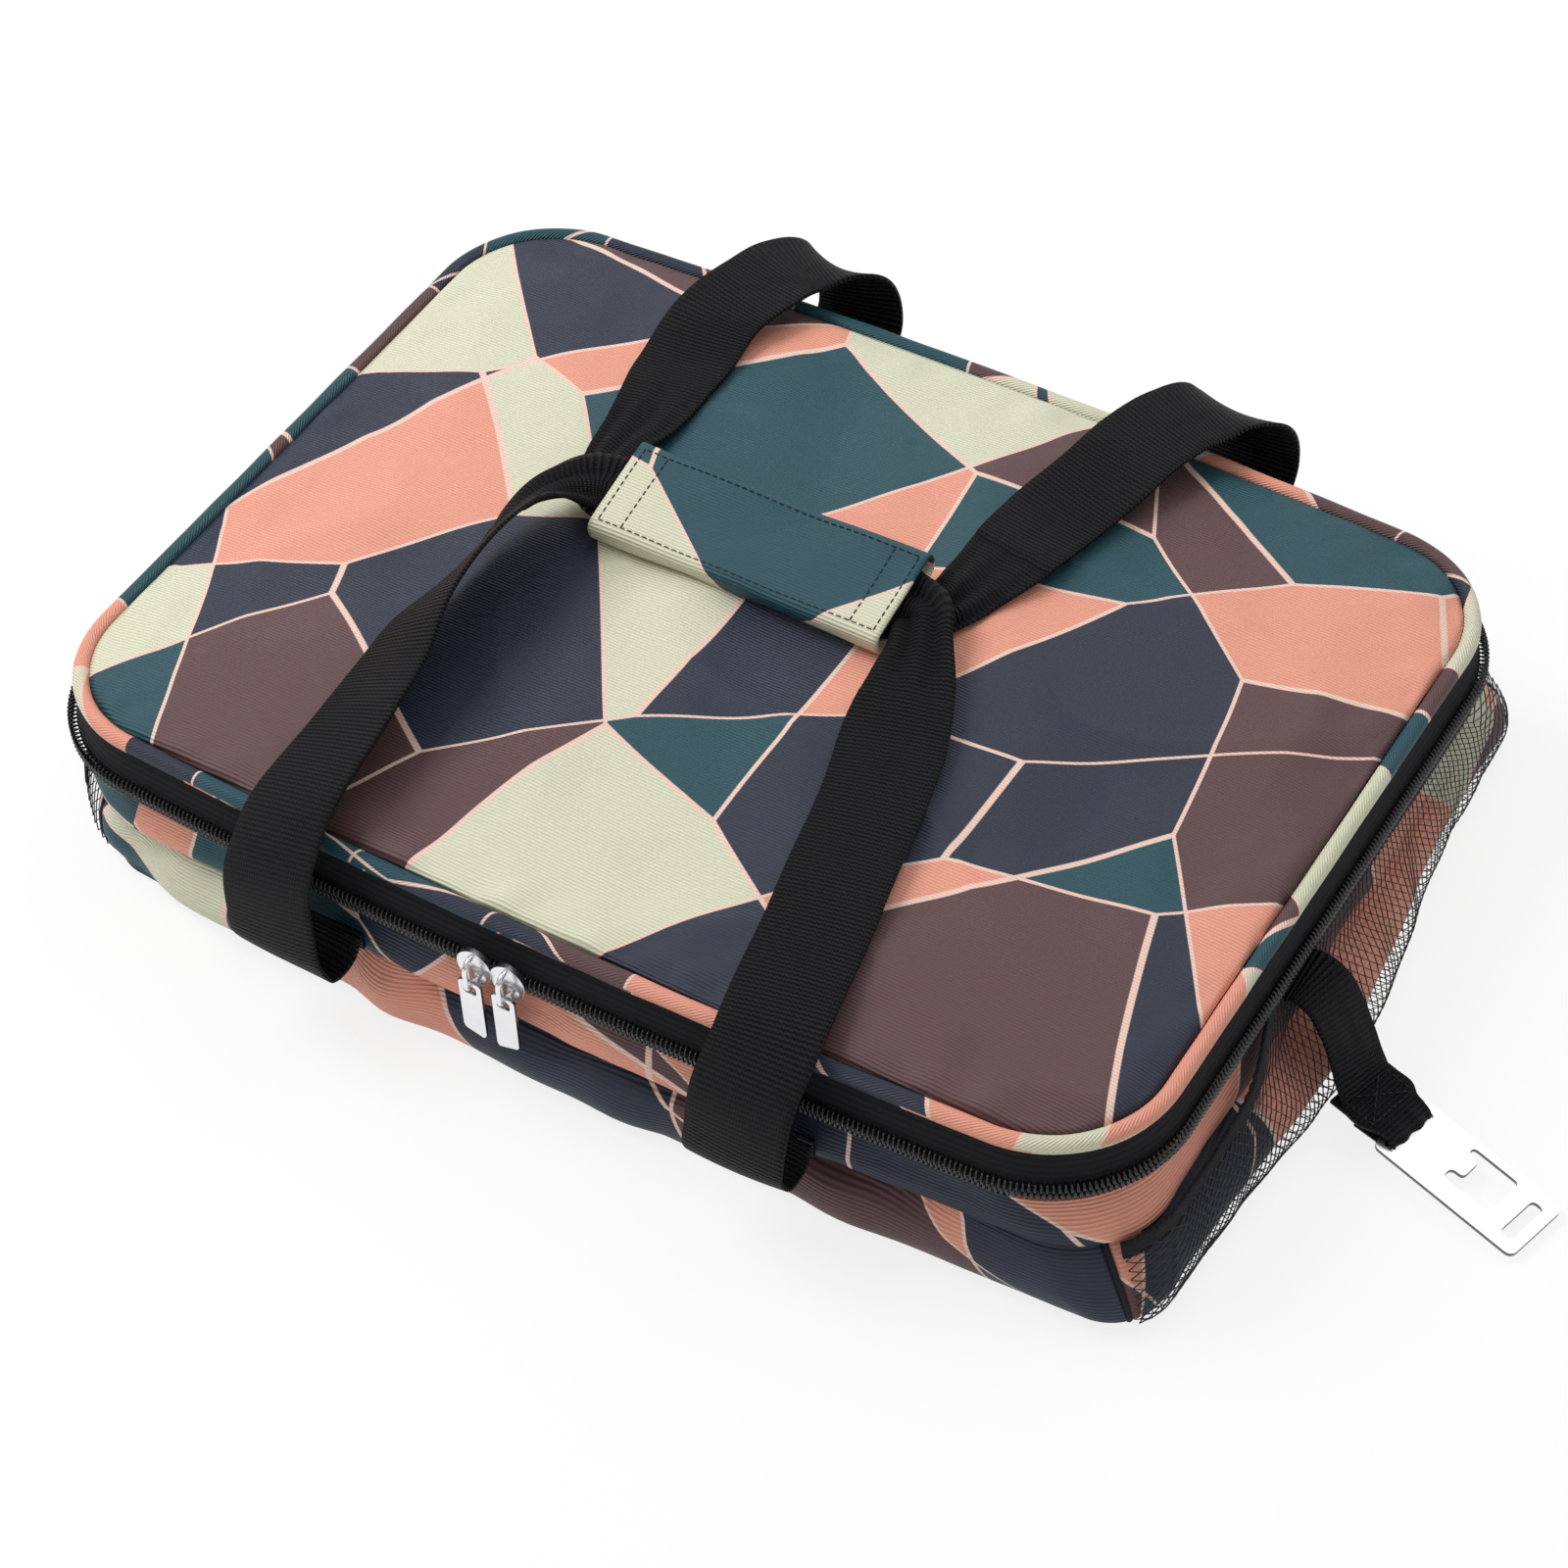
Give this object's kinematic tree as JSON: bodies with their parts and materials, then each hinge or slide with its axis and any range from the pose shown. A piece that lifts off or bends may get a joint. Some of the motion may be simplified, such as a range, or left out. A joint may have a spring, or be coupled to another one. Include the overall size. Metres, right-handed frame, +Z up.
{
  "type": "collapsible cooler bag",
  "caption": "Soft fabric cooler bag folded flat, with a zipped padded lid, webbing carry handles joined in a cuff, mesh end pockets and a bottle opener on a side tab.",
  "frame": {"origin": "on the floor, under the middle of the lid", "axes": "+X along the lid towards the end with the bottle opener, -Y towards the front with the zip pulls, +Z up"},
  "size_m": [0.564, 0.3891, 0.1176],
  "materials": {
    "printed_cloth": "coated woven polyester with a many-coloured shard print, satin",
    "webbing": "ribbed, matte",
    "lining": "wipe-clean film, soft sheen",
    "foam": "closed-cell foam, matte",
    "board": "matte",
    "zip_tape": "herringbone weave, matte",
    "zip_coil": "nylon, semi-gloss",
    "net": "open diamond mesh, matte",
    "nickel": "nickel plated, bright",
    "steel": "satin"
  },
  "bodies": {
    "base": {"base_cover": "printed_cloth", "base_board": "board", "base_foam": "foam", "base_liner": "lining", "wall_front": "printed_cloth", "wall_right": "printed_cloth", "wall_back": "printed_cloth", "wall_left": "printed_cloth", "wall_foam": "foam", "wall_liner": "lining", "pocket_net_left": "net", "pocket_net_right": "net", "pocket_elastic_left": "zip_tape", "pocket_elastic_right": "zip_tape"},
    "rim": {"rim_band": "printed_cloth", "rim_foam": "foam", "rim_liner": "lining", "lower_zip_tape": "zip_tape", "lower_zip_coil": "zip_coil", "lid_hinge_strip": "zip_tape", "front_strap_left_patch": "webbing", "front_strap_right_patch": "webbing", "back_strap_left_patch": "webbing", "back_strap_right_patch": "webbing", "opener_tab": "webbing"},
    "lid": {"lid_cover": "printed_cloth", "lid_foam": "foam", "lid_liner": "lining", "lid_piping": "printed_cloth", "upper_zip_tape": "zip_tape", "upper_zip_coil": "zip_coil"},
    "front_handle": {"front_strap": "webbing"},
    "back_handle": {"back_strap": "webbing", "cuff_sleeve": "printed_cloth", "cuff_loop_strip": "zip_tape", "cuff_hook_strip": "zip_tape"},
    "left_slider": {"slider_left": "nickel"},
    "left_pull": {"pull_left": "nickel"},
    "right_slider": {"slider_right": "nickel"},
    "right_pull": {"pull_right": "nickel"},
    "opener": {"bottle_opener": "steel"}
  },
  "joints": [
    {"name": "body_rise", "type": "slide", "parent": "base", "child": "rim", "axis": [0, 0, 1], "range_m": [0, 0.2], "deforming": ["wall_front", "wall_right", "wall_back", "wall_left", "wall_foam", "wall_liner", "pocket_net_left", "pocket_net_right", "pocket_elastic_left", "pocket_elastic_right"]},
    {"name": "lid_open", "type": "hinge", "parent": "rim", "child": "lid", "pos_m": [0, 0.1665, 0.069], "axis": [-1, 0, 0], "range_deg": [0, 105]},
    {"name": "front_handle_swing", "type": "hinge", "parent": "rim", "child": "front_handle", "pos_m": [0, -0.173, 0.041], "axis": [1, 0, 0], "range_deg": [0, 165], "deforming": ["front_strap"]},
    {"name": "back_handle_swing", "type": "hinge", "parent": "rim", "child": "back_handle", "pos_m": [0, 0.173, 0.041], "axis": [-1, 0, 0], "range_deg": [0, 165], "deforming": ["back_strap"]},
    {"name": "left_slider_run", "type": "slide", "parent": "rim", "child": "left_slider", "axis": [-1, 0, 0], "range_m": [0, 0.042]},
    {"name": "right_slider_run", "type": "slide", "parent": "rim", "child": "right_slider", "axis": [1, 0, 0], "range_m": [0, 0.07]},
    {"name": "left_pull_swing", "type": "hinge", "parent": "left_slider", "child": "left_pull", "pos_m": [-0.018, -0.17133, 0.0542], "axis": [-1, 0, 0], "range_deg": [0, 80]},
    {"name": "right_pull_swing", "type": "hinge", "parent": "right_slider", "child": "right_pull", "pos_m": [-0.004, -0.17143, 0.0542], "axis": [-1, 0, 0], "range_deg": [0, 80]},
    {"name": "opener_swing", "type": "hinge", "parent": "rim", "child": "opener", "pos_m": [0.276, -0.042, 0.008], "axis": [-0.2588, -0.9659, 0], "range_deg": [0, 75]}
  ],
  "couplings": [
    {"joint": "front_handle_swing", "follows": "lid_open", "ratio": 1.54},
    {"joint": "back_handle_swing", "follows": "lid_open", "ratio": 1.54}
  ]
}
